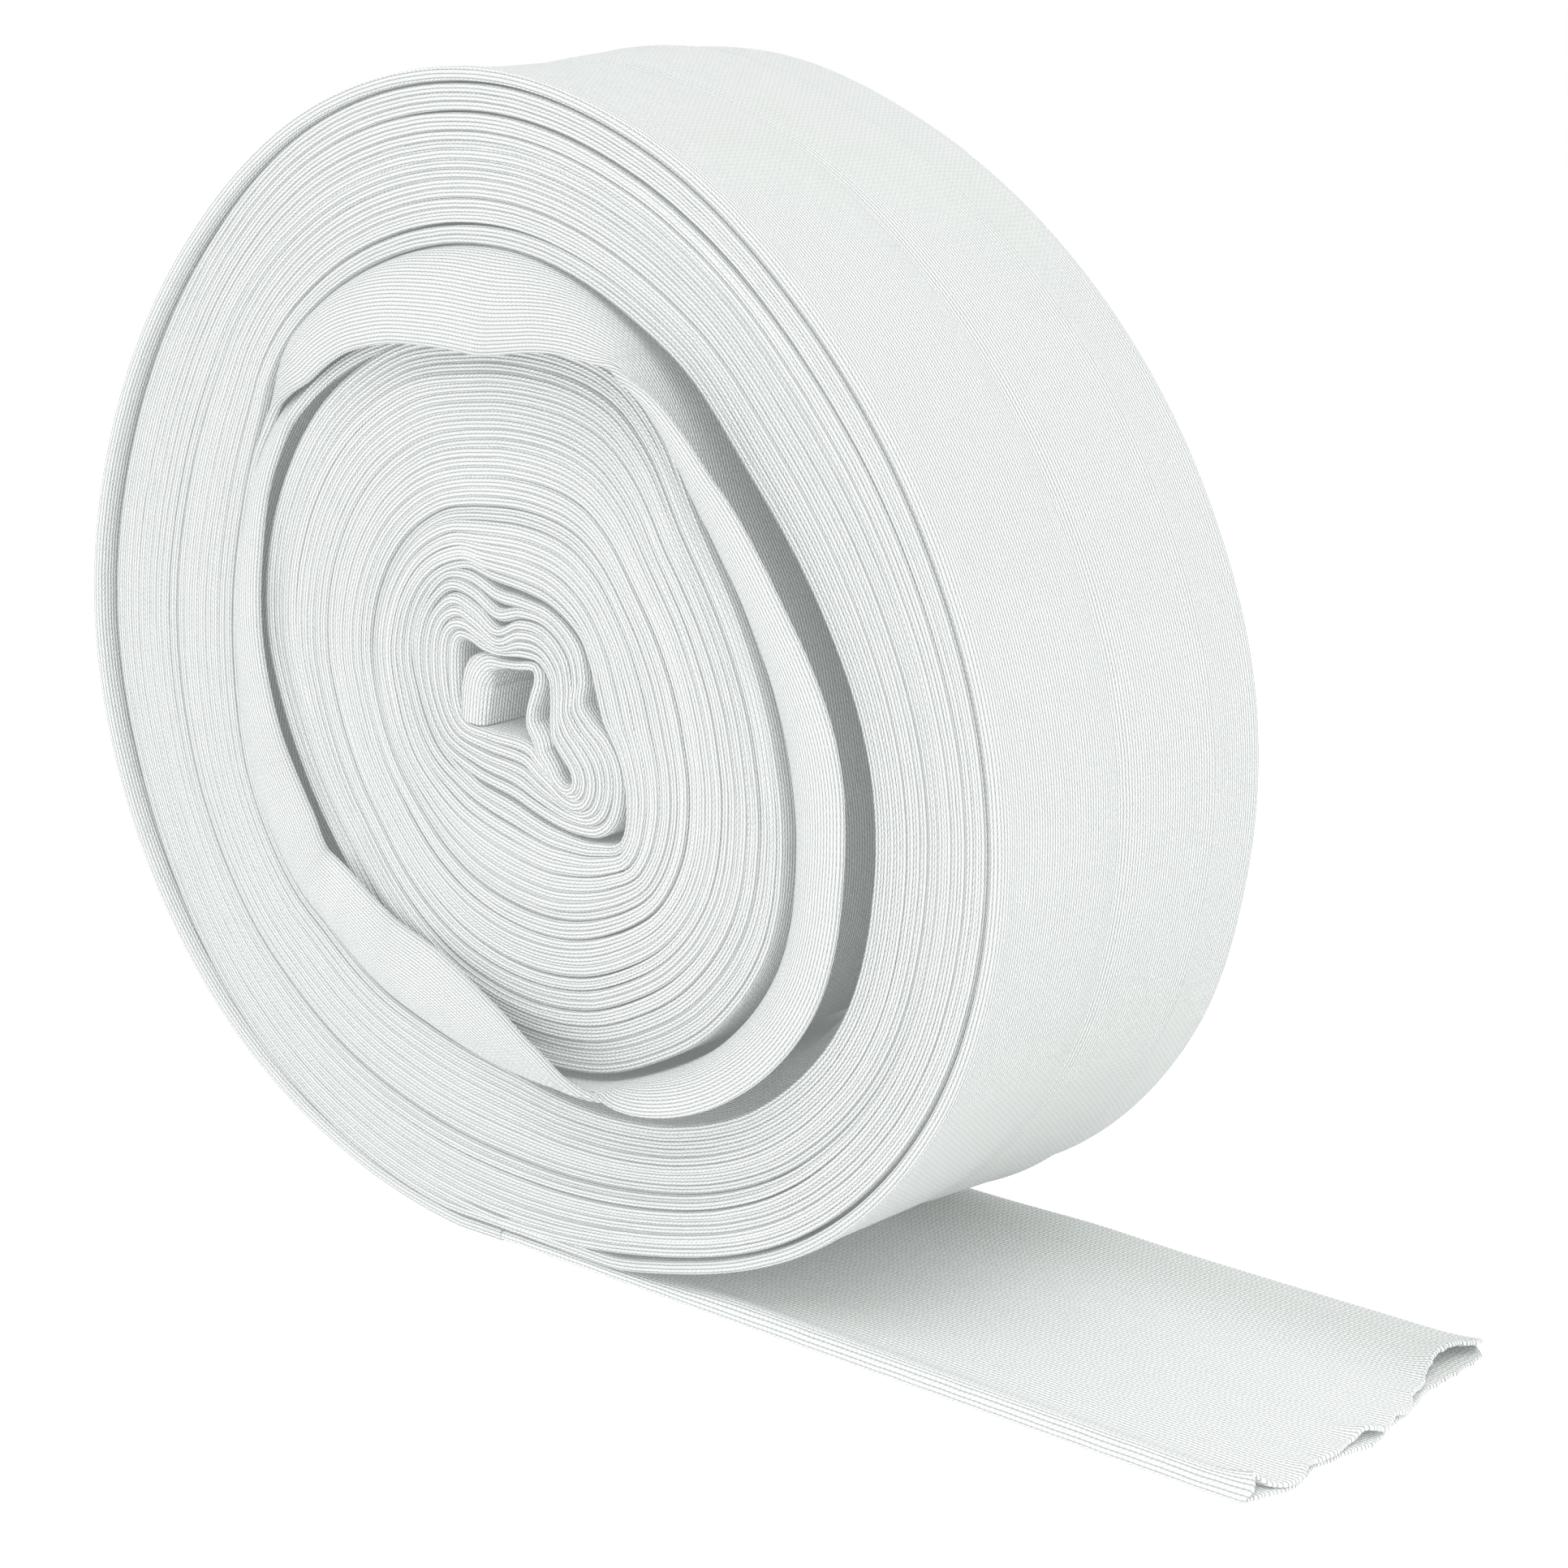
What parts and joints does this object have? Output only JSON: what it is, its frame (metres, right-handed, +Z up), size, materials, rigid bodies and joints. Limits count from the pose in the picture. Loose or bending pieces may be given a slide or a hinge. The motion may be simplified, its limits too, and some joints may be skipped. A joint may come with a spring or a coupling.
{
  "type": "tubular stockinette roll",
  "caption": "White tubular knitted cotton stockinette, laid flat and wound into a roll, with a loose end lying out ready to be cut.",
  "frame": {"origin": "on the surface it stands on, straight below the middle of the winding and half-way across the tube's width", "axes": "+X along the loose end, away from the roll; +Y along the roll's axis, from the face with the slipped turn to the plain face; +Z up"},
  "size_m": [0.2802, 0.0846, 0.2203],
  "materials": {
    "knit": "matt white cotton jersey knit"
  },
  "bodies": {
    "root": {"roll": "knit", "loose_end": "knit"}
  },
  "joints": []
}
